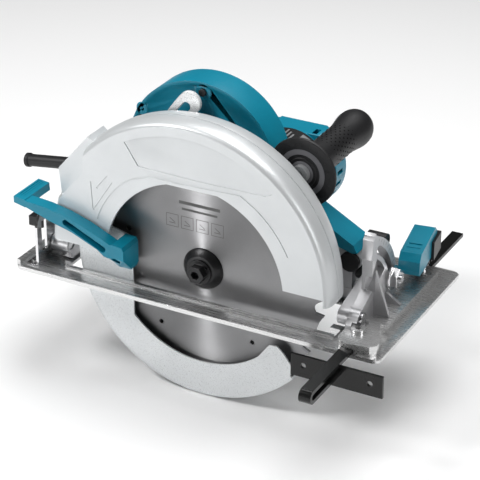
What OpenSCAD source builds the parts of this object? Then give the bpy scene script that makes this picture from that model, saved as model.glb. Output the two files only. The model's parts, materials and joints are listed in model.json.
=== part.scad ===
// Hand-held circular saw, 270 mm blade, blade on the right of the motor.
// Frame: origin at the arbor axis in the middle plane of the blade.
// +X points forwards along the cut, +Y to the motor side, +Z up.

/* [Blade] */
// Diameter of the blade over its tooth tips
blade_d = 270; // [250:1:275]
// Diameter of the blade's bore
bore_d = 30; // [20:1:32]
// Thickness of the blade's steel body
blade_t = 1.8; // [1.4:0.1:2.2]
// Width of a carbide tip
tip_w = 2.6; // [2.4:0.1:3.2]
// Number of teeth
tooth_count = 18; // [12:1:24]
// Deepest square cut below the sole
cut_depth = 100; // [80:1:102]

/* [Base] */
// Length of the sole
base_len = 413; // [400:1:520]
// Width of the sole
base_w = 203; // [190:1:260]
// Thickness of the sole plate
base_t = 3; // [2.5:0.5:4]
// Distance from the blade's middle plane to the sole's near edge
near_strip = 36; // [36:1:45]
// Height of the raised deck above the sole
deck_h = 13; // [12:0.5:15]

/* [Blade case] */
// Outer radius of the blade case
case_r = 157; // [156:1:180]
// Thickness of the case's near wall
case_wall = 3; // [2:0.5:3]
// Radius of the window in the near wall
window_r = 100; // [96:1:102]

/* [Lower guard] */
// Outer radius of the lower guard
guard_r = 141; // [139:0.5:141.5]
// Thickness of the guard's walls
guard_t = 2; // [1.5:0.25:2.5]
// Length of the guard lever from the arbor to its thumb grip
lever_reach = 198; // [190:1:230]

/* [Motor] */
// Radius of the motor housing
motor_r = 44; // [42:1:44]
// Distance from the blade's middle plane to the motor's far end
motor_end = 220; // [214:1:250]
// Module of the reduction gears
gear_m = 1.2; // [1.2:0.05:1.2]
// Teeth on the motor pinion
pinion_teeth = 10; // [10:1:10]
// Teeth on the spindle gear
gear_teeth = 45; // [45:1:45]
// Diameter of the spindle
spindle_d = 15; // [13:0.5:15]

/* [Handles] */
// Outer radius of the main handle's arch
arch_r = 83; // [80:1:90]
// Width of the main handle
handle_w = 34; // [30:1:40]
// Length of the side grip from its flange to its end ball
grip_len = 120; // [100:1:135]
// Radius of the side grip's hand flange
flange_r = 36; // [28:1:38]

/* [Rip fence] */
// Width of the fence bar
bar_w = 12.5; // [10:0.5:14]
// Thickness of the fence bar
bar_t = 4; // [3:0.25:4]
// Length of the fence plate
fence_len = 96.5; // [80:0.5:130]
// Distance between the holes in the fence plate
fence_pitch = 70; // [50:1:74]

/* [Fits] */
// Radial clearance of a shaft that turns in its hole
run_fit = 0.05; // [0.02:0.01:0.1]
// Gap between neighbouring pieces that move past each other
gap = 0.5; // [0.3:0.1:1]

/* [Hidden] */
$fn = 96;

blade_r = blade_d / 2;
sole_z = cut_depth - blade_r;
base_top = sole_z + base_t;
base_x0 = -204.5;
base_x1 = base_x0 + base_len;
base_y0 = -near_strip;
base_y1 = base_y0 + base_w;
deck_z = sole_z + deck_h;

// Blade window in the sole
slot_x0 = -155;
slot_x1 = 150;
slot_y0 = -11;
slot_y1 = 53;

// Raised deck at the front, with the fence tunnel
deck_x0 = 161;
deck_x1 = base_x1 - 15;
deck_y0 = 16;
deck_y1 = base_y1 - 19;

// Bevel axis, parallel to X
bevel_y = 3;
bevel_z = sole_z + 21;
bevel_slot_r = 69;
bevel_bolt_a = 12;
bevel_bolt_d = 8;
quad_x0 = deck_x0;
quad_x1 = quad_x0 + 11;
quad_r = 82;

// Depth pivot, parallel to Y
pivot_x = 138;
pivot_z = 20;
pivot_d = 10;
guide_r = 220;
guide_w = 24;
guide_slot_w = 9;
guide_y0 = 26;
guide_y1 = 30;
depth_travel = 36;
guide_rest_a = 180;
guide_tip_a = 139.5;
depth_bolt_x = pivot_x - guide_r;

// Blade case, a circle a little off the arbor
case_cx = -8;
case_cz = 6;
case_y0 = -23;
case_y1 = 20;
case_in_r = case_r - 6.5;
case_rear_z = 4;
case_front_z = 11;

// Lower guard
guard_y0 = -10;
guard_y1 = 16;
guard_in_r = 103;
guard_rear_a = 165;
guard_front_a = 318;
nose_r = 28;
hub_r = 34;

// Motor and gears
motor_x = 1;
motor_z = gear_m * (pinion_teeth + gear_teeth) / 2;
motor_y0 = 58;
cover_y0 = motor_end - 28;
arm_a = 10;

// Main handle
arch_x = -23;
arch_z = 99;
handle_y = 54;
handle_y0 = handle_y - handle_w / 2;
handle_y1 = handle_y + handle_w / 2;

// Buttons
button_x = -20;
button_z = 172;
lock_x = -24;
lock_y = 31;

// Side grip, parallel to Y
grip_x = 91;
grip_z = 112;
grip_y0 = 32;

// Rip fence
bar_x = 174.75;
bar_z1 = deck_z - 3.5;
bar_z0 = bar_z1 - bar_t;
bar_y0 = -126;
bar_y1 = 238;
fence_y1 = -55;
fold_h = 14.2;
clamp_y = deck_y1 - 5;
thread_r = 3;

// ---------- shared shapes ----------

// Extrudes an outline drawn in X and Z from y0 to y1
module xz(y0, y1) {
  translate([0, y1, 0]) rotate([90, 0, 0]) linear_extrude(y1 - y0) children();
}

// Extrudes an outline drawn in Y and Z from x0 to x1
module yz(x0, x1) {
  translate([x0, 0, 0]) rotate([90, 0, 90]) linear_extrude(x1 - x0) children();
}

// Straight rods parallel to Y, to X and to Z
module rod_y(x, z, y0, y1, r) {
  translate([x, y0, z]) rotate([-90, 0, 0]) cylinder(r = r, h = y1 - y0);
}
module rod_x(y, z, x0, x1, r) {
  translate([x0, y, z]) rotate([0, 90, 0]) cylinder(r = r, h = x1 - x0);
}
module rod_z(x, y, z0, z1, r) {
  translate([x, y, z0]) cylinder(r = r, h = z1 - z0);
}

// Hexagon parallel to Y or X, measured across its corners
module hex_y(x, z, y0, y1, r) {
  translate([x, y0, z]) rotate([-90, 0, 0]) cylinder(r = r, h = y1 - y0, $fn = 6);
}
module hex_x(y, z, x0, x1, r) {
  translate([x0, y, z]) rotate([0, 90, 0]) cylinder(r = r, h = x1 - x0, $fn = 6);
}

// Box given by its two corners
module block(lo, hi) {
  translate(lo) cube(hi - lo);
}

// Turned ring parallel to Y at (x, z); profile points are [radius, y]
module turned(x, z, profile, a0 = 0, sweep = 360) {
  translate([x, 0, z]) rotate([90, 0, 0]) rotate([0, 0, a0])
    rotate_extrude(angle = sweep) polygon([for (p = profile) [p[0], -p[1]]]);
}

// Rounded rectangle outline
module round_rect(x0, x1, y0, y1, r) {
  translate([x0 + r, y0]) square([x1 - x0 - 2 * r, y1 - y0]);
  translate([x0, y0 + r]) square([x1 - x0, y1 - y0 - 2 * r]);
  for (x = [x0 + r, x1 - r], y = [y0 + r, y1 - r]) translate([x, y]) circle(r);
}

// Flat bar outline with round ends between two points
module link(p, q, r) {
  d = q - p;
  translate(p) circle(r);
  translate(q) circle(r);
  translate(p) rotate(atan2(d[1], d[0])) translate([0, -0.99 * r])
    square([norm(d), 1.98 * r]);
}

// Pie slice outline from angle a0 to a1, wide enough for radius r
module slice(r, a0, a1) {
  steps = ceil((a1 - a0) / 30);
  polygon(concat([[0, 0]], [for (i = [0 : steps])
    let (a = a0 + (a1 - a0) * i / steps) [cos(a), sin(a)] * r * 1.2]));
}

// Curved band outline between two radii
module band(r0, r1, a0, a1) {
  intersection() {
    difference() {
      circle(r1);
      circle(r0);
    }
    slice(r1, a0, a1);
  }
}

// Curved slot outline with round ends on radius r
module arc_slot(r, w, a0, a1) {
  band(r - w / 2, r + w / 2, a0, a1);
  for (a = [a0, a1]) translate([r * cos(a), r * sin(a)]) circle(w / 2);
}

// Involute gear outline
function inv(a) = tan(a) * 180 / PI - a;
function flank(r, rb, half, pa) = half + inv(pa) - inv(acos(min(1, rb / r)));
module gear(m, teeth, pa, add, ded, backlash) {
  rp = m * teeth / 2;
  rb = rp * cos(pa);
  half = 90 / teeth - backlash / rp * 90 / PI;
  steps = 4;
  r0 = max(rb, rp - ded);
  radii = [for (i = [0 : steps]) r0 + (rp + add - r0) * i / steps];
  polygon([for (t = [0 : teeth - 1], side = [-1, 1])
    let (order = side < 0 ? [-1 : steps] : [steps : -1 : -1])
    for (i = order)
      let (r = i < 0 ? rp - ded : radii[i],
        a = t * 360 / teeth + side * flank(i < 0 ? r0 : r, rb, half, pa))
      [r * cos(a), r * sin(a)]]);
}

// Point on a circle in the XZ plane
function polar(cx, cz, r, a) = [cx + r * cos(a), cz + r * sin(a)];

// ---------- base ----------

module deck_outline() {
  difference() {
    translate([deck_x0, deck_y0]) square([deck_x1 - deck_x0, deck_y1 - deck_y0]);
    difference() {
      translate([deck_x1 - 8, deck_y1 - 8]) square(9);
      translate([deck_x1 - 8, deck_y1 - 8]) circle(8);
    }
  }
}

module holder_outline() {
  polygon([[deck_x0, deck_y0], [deck_x0, -26], [165, -33], [174, base_y0], [197, -33],
    [202, -27], [202, -18], [186, deck_y0]]);
}

module base_plate() {
  color("silver") difference() {
    union() {
      translate([0, 0, sole_z]) linear_extrude(base_t)
        round_rect(base_x0, base_x1, base_y0, base_y1, 9);
      block([base_x0 + 6, base_y0, sole_z], [base_x1 - 6, base_y0 + 5, base_top + 1.5]);
      block([slot_x0, slot_y0 - 4, sole_z], [slot_x1, slot_y0, base_top + 2.5]);
      block([base_x0, base_y0 + 6, sole_z], [base_x0 + 4, base_y1 - 6, base_top + 5]);
      block([base_x1 - 3, base_y0 + 6, sole_z], [base_x1, base_y1 - 6, base_top + 1]);
      block([slot_x1 - 10, 0, sole_z], [slot_x1 + 1, 8, base_top + 2]);
      translate([0, 0, sole_z]) linear_extrude(deck_h) deck_outline();
      translate([0, 0, sole_z]) linear_extrude(deck_h + 2) holder_outline();
      rod_z(bar_x, -10, sole_z, deck_z + 6, 7);
    }
    difference() {
      block([slot_x0, slot_y0, sole_z - 1], [slot_x1, slot_y1, deck_z]);
      block([slot_x1 - 10, 0, sole_z - 1], [slot_x1 + 1, 8, deck_z]);
    }
    block([bar_x - bar_w / 2 - gap, base_y0 - 1, bar_z0 - 0.3],
      [bar_x + bar_w / 2 + gap, base_y1 + 1, bar_z1 + 0.3]);
    rod_z(bar_x, -10, bar_z1, deck_z + 7, thread_r);
    rod_z(bar_x, clamp_y, bar_z1, deck_z + 1, 4 + run_fit);
    rod_z(deck_x1 - 6, clamp_y - 10, deck_z - 6, deck_z + 1, 2);
    rod_x(bevel_y, bevel_z, deck_x0 - 1, deck_x0 + 16, 10.4);
    for (p = base_screw_places) rod_z(p[0], p[1], sole_z - 1, deck_z + 1, 2.5);
    for (p = quad_screw_places) {
      rod_z(p[0], p[1], sole_z - 1, sole_z + 3, 4.8);
      rod_z(p[0], p[1], sole_z + 2, deck_z + 3, 2);
    }
  }
}

base_screw_places = [[-187, -22], [-187, 0], [-187, 14]];
quad_screw_places = [[quad_x0 + 3.3, -4], [quad_x0 + 3.3, 45], [quad_x0 + 3.3, 79]];

module rear_bracket() {
  color("gainsboro") difference() {
    union() {
      block([-194, -28, base_top], [-180, 19, base_top + 3]);
      yz(-182, -179) difference() {
        polygon([[-28, base_top], [-28, 14], [-22, 26], [-8, 26], [-4, 10], [14, 0],
          [16, base_top]]);
        translate([-20, -16]) square([9, 34]);
      }
    }
    rod_x(bevel_y, bevel_z, -183, -178, 5 + run_fit);
    for (p = base_screw_places) rod_z(p[0], p[1], base_top - 1, base_top + 4, 2.5);
  }
}

module base_screws() {
  color("lightgray") {
    for (p = base_screw_places) {
      rod_z(p[0], p[1], sole_z + 0.5, base_top + 3, 2.5);
      rod_z(p[0], p[1], base_top + 3, base_top + 6, 4.2);
    }
    for (p = quad_screw_places) {
      rod_z(p[0], p[1], sole_z + 0.3, sole_z + 3, 4.8);
      rod_z(p[0], p[1], sole_z + 3, deck_z + 7, 2);
    }
  }
}

module bevel_quadrant() {
  foot_z = deck_z;
  color("silver") difference() {
    union() {
      yz(quad_x0, quad_x1) difference() {
        union() {
          translate([bevel_y, bevel_z]) band(quad_r - 24, quad_r, 2, 72);
          polygon([[-11, foot_z + 2], [-11, foot_z + 6], [-4, foot_z + 14], [25, 6],
            [25, 60], [31, 66], [40, 50], [62, 20], [70, 0], [86, foot_z], [16, foot_z],
            [16, foot_z + 2]]);
          translate([bevel_y, bevel_z]) circle(10);
        }
        translate([bevel_y, bevel_z])
          arc_slot(bevel_slot_r, bevel_bolt_d + 1, bevel_bolt_a - 1, bevel_bolt_a + 47);
      }
      xz_rib(30, 26);
      xz_rib(57.5, -11);
    }
    rod_x(bevel_y, bevel_z, quad_x0 - 1, quad_x1 + 1, 5 + run_fit);
    for (p = quad_screw_places) rod_z(p[0], p[1], foot_z - 1, foot_z + 7, 2);
    rod_z(bar_x, -10, foot_z - 1, foot_z + 9, 7.6);
    yz(quad_x0 + 4, quad_x1 + 1) translate([bevel_y, bevel_z]) band(30, quad_r - 22, 32, 58);
  }
}

// Triangular rib from the quadrant's front face down to the deck
module xz_rib(y, top) {
  xz(y, y + 3.5) polygon([[quad_x1 - 1, deck_z], [quad_x1 - 1, top], [quad_x1 + 1, top],
    [deck_x1 - 5, deck_z + 1], [deck_x1 - 5, deck_z]]);
}

// ---------- rip fence and its clamp ----------

module rip_fence() {
  x0 = bar_x - bar_w / 2;
  x1 = bar_x + bar_w / 2;
  low = bar_z1 - fold_h;
  color("#161616") difference() {
    union() {
      block([x0, bar_y0 + 7, bar_z0], [x1, bar_y1, bar_z1]);
      block([x0, bar_y0 + 7, low], [x1, fence_y1 - 3, low + bar_t]);
      yz(x0, x1) intersection() {
        translate([bar_y0 + 7, bar_z1 - fold_h / 2]) difference() {
          circle(fold_h / 2);
          circle(fold_h / 2 - bar_t);
        }
        translate([bar_y0 - 2, low - 1]) square([9, fold_h + 2]);
      }
      block([bar_x - fence_len / 2, fence_y1 - 3, sole_z - 21],
        [bar_x + fence_len / 2, fence_y1, sole_z + 2.5]);
    }
    for (s = [-1, 1])
      rod_y(bar_x + s * fence_pitch / 2, sole_z - 8, fence_y1 - 4, fence_y1 + 1, thread_r);
  }
}

module clamp_screw() {
  color("lightgray") {
    rod_z(bar_x, clamp_y, bar_z1 + 0.2, deck_z + 12, 4);
    rod_z(bar_x, clamp_y, deck_z + 0.3, deck_z + 5, 6.5);
  }
}

module clamp_hub() {
  color("#1c1c1c") at_clamp() difference() {
    union() {
      rod_z(0, 0, 5, 14, 7.5);
      clamp_core();
      block([-8, 13, 14], [14, 20, 34]);
      block([11, -9, 14], [14, 20, 34]);
    }
    rod_z(0, 0, 4, 12, 4);
  }
}

module clamp_lever() {
  color("#1f6f93") at_clamp() difference() {
    yz(-11, 11) polygon([[-57, 24], [-55, 19], [-38, 17], [12, 17], [13, 38], [6, 44],
      [-50, 41], [-56, 34]]);
    clamp_core();
    for (y = [-50, -42, -34]) block([-7, y, 41], [7, y + 3, 46]);
  }
}

// Clamp lever's own frame: origin on the deck at the screw, tip slightly forwards
module at_clamp() {
  translate([bar_x, clamp_y, deck_z]) rotate([0, 0, 9]) children();
}

// Part of the hub that the lever is moulded around
module clamp_core() {
  block([-8, -9, 12], [11.5, 12, 32]);
}

// ---------- tilting frame ----------

module tilt_frame() {
  px = quad_x0 - 11.5;
  bolt = [bevel_y + bevel_slot_r * cos(bevel_bolt_a), bevel_z + bevel_slot_r * sin(bevel_bolt_a)];
  color("darkgray") difference() {
    union() {
      // front plate behind the quadrant
      yz(px, quad_x0 - gap) union() {
        translate([bevel_y, bevel_z]) circle(9);
        translate(bolt) circle(11);
        polygon([[bevel_y, bevel_z - 9], [60, sole_z + 5], [76, sole_z + 8], [81, -4],
          [68, 11.4], [bevel_y, bevel_z + 9]]);
      }
      // side rail
      yz(-160, px + 1) union() {
        translate([60, sole_z + 5]) square([16, 12]);
        translate([68, sole_z + 16]) circle(6);
      }
      // lug for the depth pivot
      xz(60.5, 70) union() {
        translate([pivot_x, pivot_z]) circle(10);
        polygon([[pivot_x - 9.5, pivot_z - 3], [px - 50, sole_z + 6], [px - 15, sole_z + 6],
          [px - 15, pivot_z - 8.5], [pivot_x, pivot_z]]);
      }
      // foot of the depth guide
      block([-92, guide_y0 - 3, sole_z + 5], [-64, 62, sole_z + 12]);
      // rear cross bar and its pivot lug
      block([-170, bevel_y, sole_z + 5], [-158, 76, sole_z + 17]);
      rod_x(bevel_y, bevel_z, -178.5, -158, 9);
    }
    rod_x(bevel_y, bevel_z, px - 1, quad_x0, 5);
    rod_x(bevel_y, bevel_z, -179, -157, 5);
    rod_x(bolt[0], bolt[1], px - 1, quad_x0, bevel_bolt_d / 2);
    rod_y(pivot_x, pivot_z, 60, 73, pivot_d / 2);
    depth_guide_solid();
  }
}

module depth_guide_solid() {
  low_a = guide_rest_a + asin((pivot_z - sole_z - 8) / guide_r);
  xz(guide_y0, guide_y1) translate([pivot_x, pivot_z]) union() {
    band(guide_r - guide_w / 2, guide_r + guide_w / 2, guide_tip_a, low_a);
    translate([guide_r * cos(guide_tip_a), guide_r * sin(guide_tip_a)]) circle(guide_w / 2);
  }
}

module depth_guide() {
  color("whitesmoke") difference() {
    depth_guide_solid();
    xz(guide_y0 - 1, guide_y1 + 1) translate([pivot_x, pivot_z])
      arc_slot(guide_r, guide_slot_w, guide_tip_a + 1.5, guide_rest_a + 1);
  }
}

module depth_pivot_pin() {
  color("silver") {
    rod_y(pivot_x, pivot_z, 49, 70, pivot_d / 2);
    rod_y(pivot_x, pivot_z, 70, 72, pivot_d / 2 + 2);
  }
}

module bevel_pins() {
  color("silver") {
    rod_x(bevel_y, bevel_z, quad_x0 - 11.5, quad_x1 + 0.3, 5);
    rod_x(bevel_y, bevel_z, quad_x1 + 0.3, quad_x1 + 2.5, 7);
    rod_x(bevel_y, bevel_z, -182.3, -159, 5);
    rod_x(bevel_y, bevel_z, -184.5, -182.3, 7);
  }
}

module at_bevel_bolt() {
  translate([0, bevel_y + bevel_slot_r * cos(bevel_bolt_a),
    bevel_z + bevel_slot_r * sin(bevel_bolt_a)]) children();
}

module bevel_bolt() {
  color("lightgray") at_bevel_bolt() rod_x(0, 0, quad_x0 - 25, quad_x1 + 12, bevel_bolt_d / 2);
}

module bevel_nut() {
  color("gainsboro") at_bevel_bolt() difference() {
    union() {
      rod_x(0, 0, quad_x1 + 0.4, quad_x1 + 3, 13);
      hex_x(0, 0, quad_x1 + 3, quad_x1 + 10, 11);
    }
    rod_x(0, 0, quad_x1, quad_x1 + 11, bevel_bolt_d / 2);
  }
}

module bevel_lever() {
  x1 = quad_x0 - 12;
  color("#1c1c1c") at_bevel_bolt() difference() {
    union() {
      rod_x(0, 0, x1 - 12, x1, 9);
      yz(x1 - 12, x1 - 3) link([0, 0], [21, 26], 5);
      rod_x(21, 26, x1 - 12, x1 + 8, 8);
    }
    rod_x(0, 0, x1 - 19, x1 + 1, bevel_bolt_d / 2 + run_fit);
  }
}

// ---------- blade case ----------

module spout_outline() {
  polygon([[-112, 112], [-124, 122], [-160, 80], [-157, 48], [-120, 60]]);
}

module recess_outline(grow) {
  polygon([[-122 + grow, 119 + grow], [-125.5 + grow, 86 - grow], [-154 + grow, 51 - grow],
    [-172, 51 - grow], [-172, 125], [-130, 130]]);
}

module case_trim(front_z) {
  difference() {
    translate([-200, -60]) square([400, 260]);
    translate([-200, -200]) square([200, 200 + case_rear_z]);
    translate([0, -200]) square([200, 200 + front_z]);
  }
}

// Rounded shoulder of the rim, from near to far when turn is 1 and back when it is -1
function rim_arc(r0, dr, y, dy, turn) = [for (i = [0 : 6])
  let (a = turn > 0 ? i * 15 : 90 - i * 15) [r0 + dr * sin(a), y + dy * cos(a)]];

// Sunk panel near the top of the near wall
module panel_outline() {
  intersection() {
    polygon([[-88, 150], [-60, 108], [9.5, 106.6], [80, 107.7], [120, 127], [60, 170]]);
    translate([case_cx, case_cz]) circle(case_r - 15);
  }
}

// Cast lines on the near wall: one follows the window, three short ones mark the top left
module line_cuts() {
  band(114.7, 116.3, 25, 54);
  band(114.7, 116.3, 127, 160);
  link([67.9, 93.4], [53, 103], 0.9);
  link([53, 103], [9, 101], 0.9);
  link([9, 101], [-47, 99.5], 0.9);
  link([-47, 99.5], [-69.5, 92.2], 0.9);
  link([-115, 79], [-113.5, 50], 0.6);
  link([-108, 74], [-96, 89], 0.6);
  link([-90, 83], [-112.5, 49], 0.6);
}

module window_outline() {
  difference() {
    circle(window_r);
    translate([-60, 96]) square([120, 20]);
  }
}

module blade_case() {
  color("#d4d6d6") difference() {
    union() {
      // rim with its rounded shoulders, cut off level at the bottom
      intersection() {
        turned(case_cx, case_cz, concat([[case_in_r, case_y0]],
          rim_arc(case_r - 6, 6, case_y0 + 12, -12, 1), [[case_r + 0.6, -3.6],
          [case_r - 0.4, -3.4], [case_r - 0.4, -2.8], [case_r + 0.6, -2.6]],
          rim_arc(case_r - 9, 9, case_y1 - 17, 17, -1), [[case_in_r - 6, case_y1],
          [case_in_r - 6, case_y1 - 3], [case_in_r, case_y1 - 3]]));
        xz(case_y0 - 1, case_y1 + 1) case_trim(3);
      }
      // near wall around the blade window
      xz(case_y0, case_y0 + case_wall) intersection() {
        difference() {
          translate([case_cx, case_cz]) circle(case_in_r + 1);
          window_outline();
        }
        case_trim(case_front_z);
      }
      // far wall, reaching down to carry the bearing box
      xz(case_y1 - 3, case_y1) intersection() {
        union() {
          translate([case_cx, case_cz]) circle(case_in_r + 1);
          circle(52);
        }
        union() {
          case_trim(case_front_z);
          translate([-50, sole_z + 2]) square([100, 60]);
        }
      }
      // chip spout and the boss for the depth bolt
      xz(-12, case_y1 - 2) difference() {
        spout_outline();
        circle(guard_r + 1.5);
      }
      xz(case_y0, -11) intersection() {
        recess_outline(3);
        translate([case_cx, case_cz]) circle(case_in_r + 1);
      }
      rod_y(depth_bolt_x, pivot_z, case_y1 - 1, guide_y0 - gap, 12);
    }
    xz(case_y0 - 1, -12) recess_outline(0);
    xz(case_y0 - 1, case_y0 + 0.9) panel_outline();
    xz(case_y0 - 1, case_y0 + 0.6) line_cuts();
    // chip way from the blade chamber out of the spout
    xz(-4, 14) polygon([[-108, 112], [-115, 62], [-170, 55], [-162, 74], [-128, 108]]);
    rod_y(0, 0, case_y1 - 4, case_y1 + 1, nose_r + 3);
    rod_y(depth_bolt_x, pivot_z, case_y1 - 4, guide_y0, 4);
    rod_y(depth_bolt_x, pivot_z, case_y1 - 4, case_y1 - 0.2, 7.2);
    for (a = case_screw_angles) {
      p = polar(0, 0, 43, a);
      rod_y(p[0], p[1], case_y1 - 4, case_y1 + 1, 2.5);
      rod_y(p[0], p[1], case_y1 - 4, case_y1 - 1.2, 4.2);
    }
  }
}

case_screw_angles = [25, 100, 155, 205, 335];

module case_screws() {
  color("lightgray") for (a = case_screw_angles) {
    p = polar(0, 0, 43, a);
    rod_y(p[0], p[1], case_y1 - 2.8, case_y1 - 1.2, 4.2);
    rod_y(p[0], p[1], case_y1 - 1.2, case_y1 + 14, 2.5);
  }
}

// ---------- spindle support ----------

module housing_trim(y0, y1) {
  xz(y0, y1) translate([-120, base_top + 1]) square([320, 200]);
}

module bearing_box() {
  color("silver") difference() {
    union() {
      rod_y(0, 0, 7.4, case_y1 + 1, nose_r);
      intersection() {
        rod_y(0, 0, case_y1, case_y1 + 6, 50);
        housing_trim(case_y1 - 1, case_y1 + 7);
      }
      rod_y(0, 0, case_y1 - 3, case_y1 + 1, nose_r + 2.8);
    }
    rod_y(0, 0, 9, case_y1 + 7, 21);
    rod_y(0, 0, 6, 10, 18);
    turned(0, 0, [[nose_r - 1.5, 7.6], [nose_r + 1, 7.6], [nose_r + 1, 8.9],
      [nose_r - 1.5, 8.9]]);
    for (a = case_screw_angles) {
      p = polar(0, 0, 43, a);
      rod_y(p[0], p[1], case_y1 - 1, case_y1 + 7, 2.5);
    }
  }
}

module guard_retainer() {
  color("dimgray") turned(0, 0, [[nose_r - 1.5, 7.7], [nose_r + 3, 7.7], [nose_r + 3, 8.8],
    [nose_r - 1.5, 8.8]], 20, 320);
}

// Ball bearing simplified to one ring with shield grooves
module bearing(x, z, y0, y1, ri, ro) {
  m = (ri + ro) / 2;
  turned(x, z, [[ri, y0], [m - 2, y0], [m - 2, y0 + 0.6], [m + 2, y0 + 0.6], [m + 2, y0],
    [ro, y0], [ro, y1], [m + 2, y1], [m + 2, y1 - 0.6], [m - 2, y1 - 0.6], [m - 2, y1],
    [ri, y1]]);
}

module spindle_bearing_inner() {
  color("steelblue") bearing(0, 0, 10, 22, 10 + run_fit, 21);
}

module spindle_bearing_outer() {
  color("steelblue") bearing(0, 0, 45, 54, spindle_d / 2 + run_fit, 16);
}

// Outline of the arm that reaches forwards to the depth pivot
module arm_outline() {
  polygon([[30, -8], [70, 0], [pivot_x - 3, pivot_z - 10], [pivot_x + 3, pivot_z + 10],
    [60, 52], [30, 60]]);
}

module gear_housing() {
  color("#b8babb") difference() {
    union() {
      intersection() {
        union() {
          rod_y(0, 0, case_y1 + 6, motor_y0, 50);
          rod_y(motor_x, motor_z, 50, motor_y0, motor_r + 2);
          rod_y(motor_x, motor_z, case_y1 + 6, 50, 24);
        }
        housing_trim(case_y1 + 5, 60);
      }
      // arm forward to the depth pivot
      xz(49, 60) arm_outline();
      rod_y(pivot_x, pivot_z, 49, 60, 10.5);
      // boss for the side grip
      xz(case_y1 + 6, grip_y0) link([38, 40], [grip_x, grip_z], 9);
    }
    rod_y(motor_x, motor_z, motor_y0, 61, motor_r + 2);
    rod_y(0, 0, case_y1 + 5, 43, 29.5);
    rod_y(motor_x, motor_z, case_y1 + 8, 50, 11.5);
    rod_y(0, 0, 42, 54, 16);
    rod_y(motor_x, motor_z, 48, 58, 14);
    rod_y(pivot_x, pivot_z, 48, 61, pivot_d / 2 + run_fit);
    rod_y(grip_x, grip_z, 25, 33, 4);
    rod_z(lock_x, lock_y, 22, 60, 3.5 + run_fit);
    for (a = case_screw_angles) {
      p = polar(0, 0, 43, a);
      rod_y(p[0], p[1], case_y1 + 5, case_y1 + 15, 2.5);
    }
  }
}

module pivot_cap() {
  color("#1b1014") rod_y(pivot_x, pivot_z, 44, 49, 10.5);
}

// ---------- motor ----------

module motor_housing() {
  color("#0c86a2") difference() {
    union() {
      rod_y(motor_x, motor_z, motor_y0, cover_y0, motor_r);
      rod_y(motor_x, motor_z, motor_y0, motor_y0 + 6, motor_r + 2);
      for (x = [-1, 1]) rod_y(motor_x + x * (motor_r + 1), motor_z, 160, 174, 9);
    }
    rod_y(motor_x, motor_z, motor_y0 - 1, 152, motor_r - 3);
    rod_y(motor_x, motor_z, 151, cover_y0 + 1, motor_r - 5);
    rod_x(167, motor_z, motor_x - 60, motor_x + 60, 6.3);
    for (a = cover_screw_angles) {
      p = polar(motor_x, motor_z, motor_r - 2.5, a);
      rod_y(p[0], p[1], cover_y0 - 14, cover_y0 + 1, 1.8);
    }
  }
}

cover_screw_angles = [52.5, 127.5, 232.5, 307.5];

module baffle_ring() {
  color("#202020") turned(motor_x, motor_z, [[30, 74], [motor_r - 3, 74], [motor_r - 3, 77],
    [30, 77]]);
}

module stator() {
  color("#7a6a58") difference() {
    rod_y(motor_x, motor_z, 84, 142, motor_r - 3);
    rod_y(motor_x, motor_z, 83, 143, 25);
  }
}

module cover_outline(r) {
  intersection() {
    translate([motor_x, motor_z]) circle(r);
    translate([motor_x - r - 1, motor_z - r - 1]) square([2 * r + 2, r + 1 + 41]);
  }
}

module motor_cover() {
  color("#0c86a2") difference() {
    union() {
      xz(cover_y0, motor_end - 4) cover_outline(52);
      xz(motor_end - 4, motor_end) cover_outline(49);
    }
    rod_y(motor_x, motor_z, cover_y0 - 1, motor_end - 12, motor_r - 5);
    rod_y(motor_x, motor_z, motor_end - 13, motor_end - 4, 13);
    for (i = [0 : 8]) {
      a = -60 + i * 15;
      p = polar(motor_x, motor_z, 50, a);
      translate([p[0], cover_y0 + 9, p[1]]) rotate([0, -a, 0]) cube([30, 12, 5], center = true);
    }
    for (a = cover_screw_angles) {
      p = polar(motor_x, motor_z, motor_r - 2.5, a);
      rod_y(p[0], p[1], cover_y0 - 1, motor_end + 1, 1.8);
    }
  }
}

module cover_screws() {
  color("lightgray") for (a = cover_screw_angles) {
    p = polar(motor_x, motor_z, motor_r - 2.5, a);
    rod_y(p[0], p[1], cover_y0 - 14, motor_end, 1.8);
    rod_y(p[0], p[1], motor_end, motor_end + 2, 3.5);
  }
}

module armature_bearing_front() {
  color("steelblue") bearing(motor_x, motor_z, 49, 57, 6 + run_fit, 14);
}

module armature_bearing_rear() {
  color("steelblue") bearing(motor_x, motor_z, motor_end - 13, motor_end - 5, 5 + run_fit,
    13);
}

module brush_holders() {
  color("#3a3a3a") for (s = [-1, 1])
    rod_x(167, motor_z, motor_x + (s < 0 ? -43 : 17), motor_x + (s < 0 ? -17 : 43), 6.3);
}

module brush_caps() {
  color("#151515") for (s = [-1, 1])
    rod_x(167, motor_z, motor_x + (s < 0 ? -54 : 43), motor_x + (s < 0 ? -43 : 54), 6.3);
}

module front_fairing() {
  color("#0c86a2") difference() {
    xz(45, 76) polygon([[50, 84], [60, 80], [78, 74], [142, 39], [146, 31], [128, 29],
      [60, 45], [50, 62]]);
    xz(44, 77) translate([arch_x, arch_z]) circle(arch_r + 0.4);
    rod_y(motor_x, motor_z, 44, 77, motor_r + 2);
    xz(44, 60) arm_outline();
    rod_y(0, 0, 44, motor_y0, 50);
    rod_y(pivot_x, pivot_z, 44, 77, 10.6);
  }
}

// ---------- handles and switch ----------

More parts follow.
